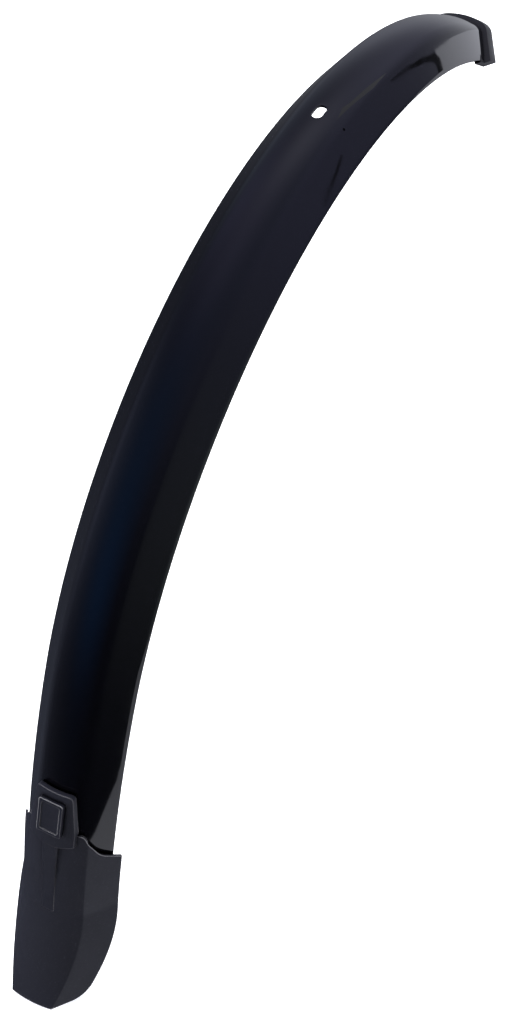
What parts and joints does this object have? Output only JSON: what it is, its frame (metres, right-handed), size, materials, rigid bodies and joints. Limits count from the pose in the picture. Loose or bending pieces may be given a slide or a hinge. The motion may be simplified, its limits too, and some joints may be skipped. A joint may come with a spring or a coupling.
{
  "type": "bicycle mudguard",
  "caption": "Curved channel-section bicycle mudguard blade with a trimmed front end, a slotted fork-crown mounting hole and a flared mud flap held on by a push-in button.",
  "frame": {"origin": "middle of the fork-crown slot on the blade's outer crown", "axes": "+Z out of the wheel along the mounting bolt, +X forward along the blade, +Y to the rider's left"},
  "size_m": [0.6946, 0.0762, 0.444],
  "materials": {
    "blade_gloss": "gloss",
    "trim_satin": "satin",
    "flap_satin": "satin",
    "button_satin": "satin"
  },
  "bodies": {
    "root": {"blade": "blade_gloss", "front_end_cap": "trim_satin", "mud_flap": "flap_satin", "flap_button": "button_satin"}
  },
  "joints": []
}
